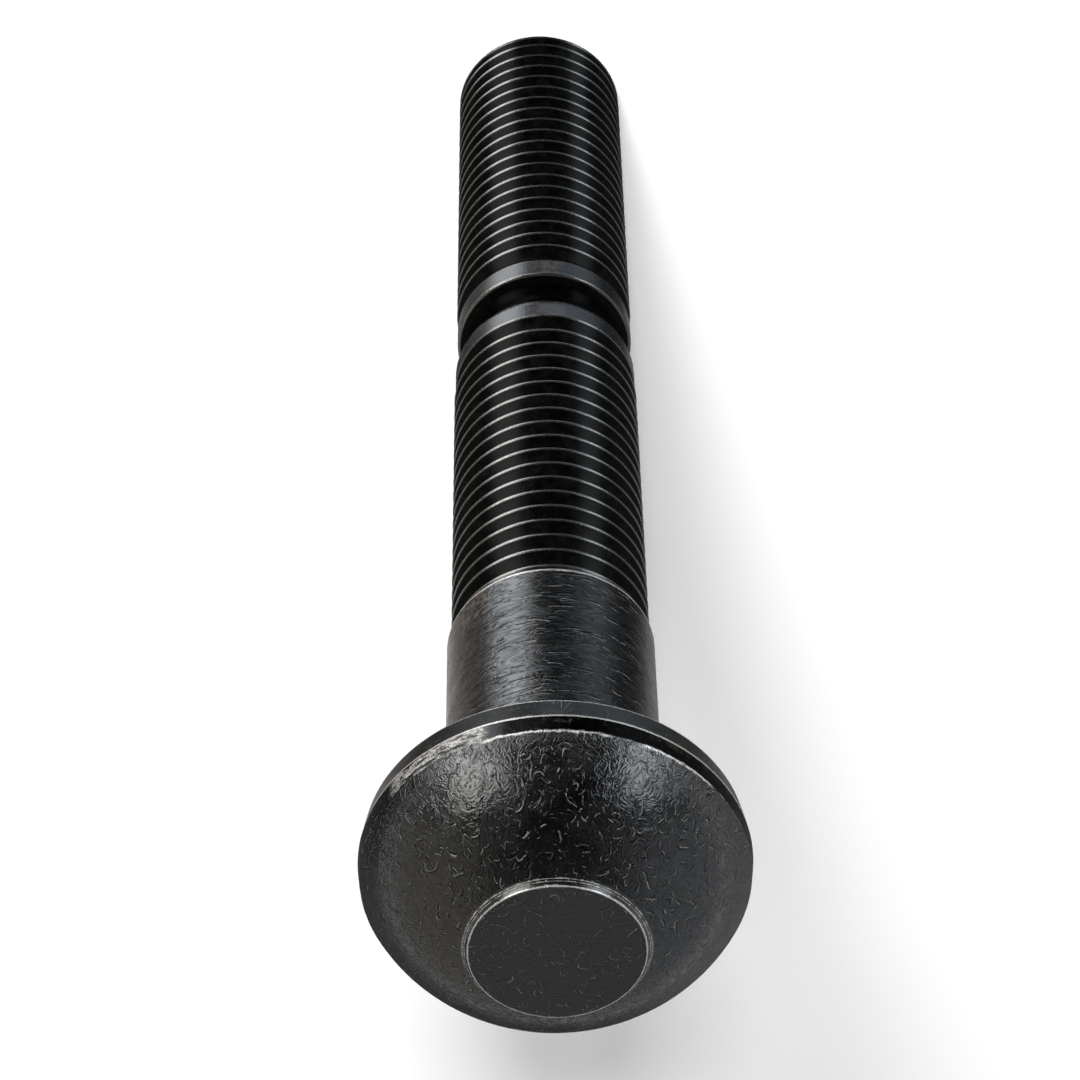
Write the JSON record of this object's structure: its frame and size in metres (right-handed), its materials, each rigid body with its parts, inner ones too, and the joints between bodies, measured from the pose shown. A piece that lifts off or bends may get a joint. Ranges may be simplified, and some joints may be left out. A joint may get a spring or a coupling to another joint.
{
  "type": "round head lockbolt",
  "caption": "Round head lockbolt: a plain shank and annular locking grooves, then a breakneck and a grooved pulling tail, in black oxide finished steel.",
  "frame": {"origin": "centre of the flat end of the pulling tail, which the bolt stands on", "axes": "+Z along the bolt's axis, from the tail to the head; X and Y are equal, because the bolt is round"},
  "size_m": [0.0354, 0.0354, 0.1467],
  "materials": {
    "black_oxide_steel": "black oxide on forged and rolled steel, semi-matt, worn bright along the ridge tops and edges"
  },
  "bodies": {
    "root": {"lockbolt": "black_oxide_steel"}
  },
  "joints": []
}
